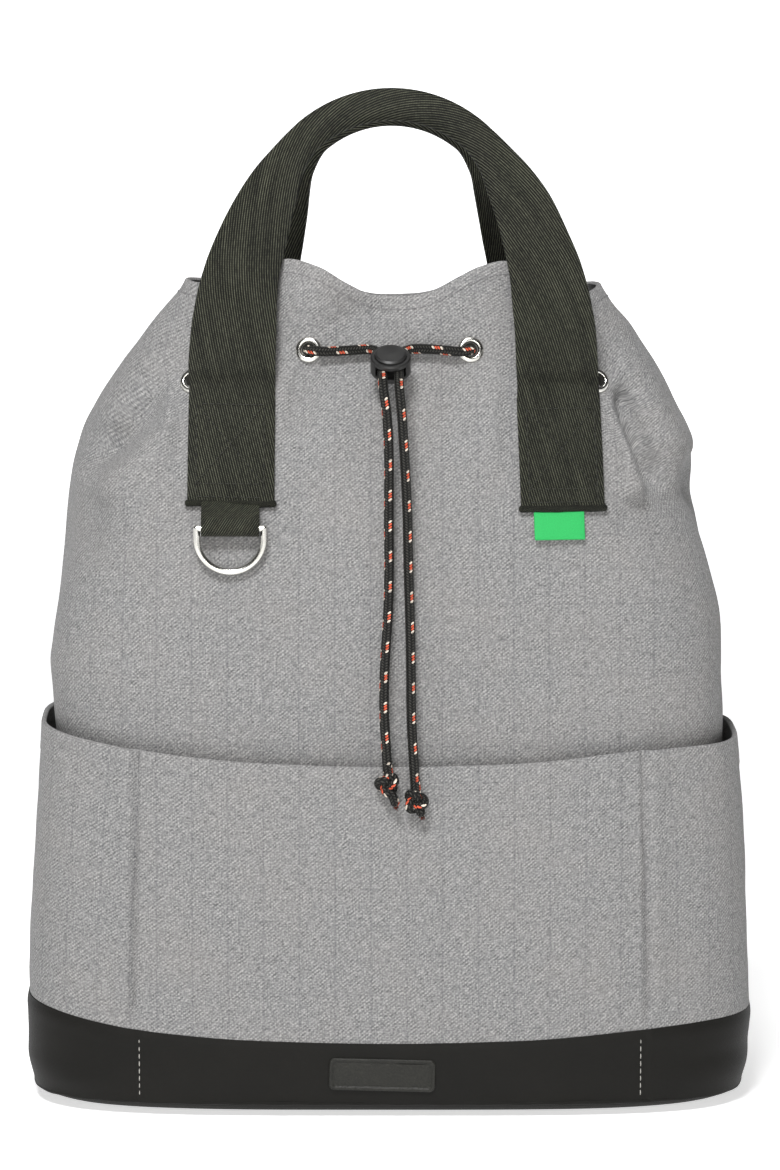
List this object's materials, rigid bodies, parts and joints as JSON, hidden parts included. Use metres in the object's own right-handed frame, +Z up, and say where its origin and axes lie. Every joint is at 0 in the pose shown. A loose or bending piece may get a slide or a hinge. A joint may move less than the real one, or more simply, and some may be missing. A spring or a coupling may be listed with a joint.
{
  "type": "drawstring diaper bag",
  "caption": "Upright cloth carry bag with a dark base, wrap pockets, two webbing handles, a drawstring mouth with cord lock and a clip ring.",
  "frame": {"origin": "middle of the footprint, on the plane that the base stands on", "axes": "+Z up; -Y towards the front of the bag; +X to the right of someone facing the front"},
  "size_m": [0.3424, 0.1794, 0.4738],
  "materials": {
    "heather_cloth": "heather grey woven polyester",
    "base_cloth": "smooth coated cloth, matt",
    "webbing": "twill webbing",
    "patch_leather": "fine grain, matt",
    "label_green": "smooth woven tape",
    "board": "plain",
    "lining": "plain weave",
    "nickel": "polished nickel",
    "spring_steel": "drawn wire",
    "cord": "round braid with flecks",
    "lock_plastic": "satin moulded"
  },
  "bodies": {
    "bag": {"base_band_front": "base_cloth", "base_band_back": "base_cloth", "base_band_left": "base_cloth", "base_band_right": "base_cloth", "pocket_front": "heather_cloth", "pocket_side_left": "heather_cloth", "pocket_side_right": "heather_cloth", "base_bottom": "base_cloth", "body_front_panel": "heather_cloth", "body_back_panel": "heather_cloth", "mouth_facing": "heather_cloth", "lining": "lining", "base_board": "board", "base_patch": "patch_leather", "side_label": "label_green", "front_handle_foot_left": "webbing", "front_handle_foot_right": "webbing", "rear_handle_foot_left": "webbing", "rear_handle_foot_right": "webbing", "d_ring_loop": "webbing", "eyelets": "nickel", "eyelet_washers": "nickel", "drawcord_held": "cord"},
    "front_handle": {"front_handle_leg_left": "webbing", "front_handle_leg_right": "webbing", "front_handle_grip": "webbing"},
    "rear_handle": {"rear_handle_leg_left": "webbing", "rear_handle_leg_right": "webbing", "rear_handle_grip": "webbing"},
    "d_ring": {"d_ring": "nickel"},
    "drawcord": {"drawcord_tail_left": "cord", "drawcord_tail_right": "cord", "knot_left": "cord", "knot_right": "cord", "cord_lock_barrel": "lock_plastic", "cord_lock_spring": "spring_steel"},
    "lock_button": {"cord_lock_plunger": "lock_plastic"}
  },
  "joints": [
    {"name": "front_handle_fold", "type": "hinge", "parent": "bag", "child": "front_handle", "pos_m": [0, -0.05756, 0.3332], "axis": [1, 0, 0], "range_deg": [0, 145]},
    {"name": "rear_handle_fold", "type": "hinge", "parent": "bag", "child": "rear_handle", "pos_m": [0, 0.05866, 0.3332], "axis": [-1, 0, 0], "range_deg": [0, 145]},
    {"name": "d_ring_swing", "type": "hinge", "parent": "bag", "child": "d_ring", "pos_m": [-0.0732, -0.07558, 0.273], "axis": [-1, 0, 0], "range_deg": [0, 110]},
    {"name": "drawcord_pull", "type": "slide", "parent": "bag", "child": "drawcord", "axis": [0, -0.243, -0.97], "range_m": [0, 0.05], "deforming": ["drawcord_tail_left", "drawcord_tail_right"]},
    {"name": "lock_button_press", "type": "slide", "parent": "drawcord", "child": "lock_button", "axis": [0, 0.5446, -0.8387], "range_m": [0, 0.0016], "stiffness_N_per_m": 800, "springref_m": -0.002, "deforming": ["cord_lock_spring"]}
  ]
}
